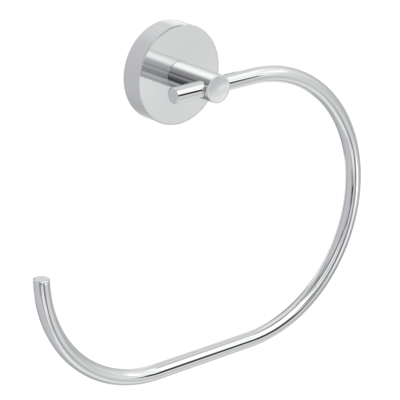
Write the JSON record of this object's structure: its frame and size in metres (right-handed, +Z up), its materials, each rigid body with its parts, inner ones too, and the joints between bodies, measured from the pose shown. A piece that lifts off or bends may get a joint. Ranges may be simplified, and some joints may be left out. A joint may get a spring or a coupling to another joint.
{
  "type": "towel ring",
  "caption": "Wall-mounted open towel ring: a round rosette and a short post carry a bent round rod that a towel hangs on.",
  "frame": {"origin": "centre of the rosette's back, in the plane of the wall", "axes": "+Y into the wall, +Z up, +X to the right for someone who faces the wall; the ring stands in front, towards -Y"},
  "size_m": [0.2064, 0.0417, 0.1699],
  "materials": {
    "polished_chrome": "mirror polished plating",
    "plated_bracket": "dull zinc plating on a die casting",
    "set_screw_steel": "plain stainless",
    "plated_screw": "bright zinc plating",
    "spring_steel": "dark phosphated"
  },
  "bodies": {
    "root": {"rosette": "polished_chrome", "post": "polished_chrome", "ring_rod": "polished_chrome", "wall_bracket": "plated_bracket", "rosette_set_screw": "set_screw_steel", "ring_set_screw": "set_screw_steel", "post_screw": "plated_screw", "post_washer": "plated_screw", "post_lock_washer": "spring_steel"}
  },
  "joints": []
}
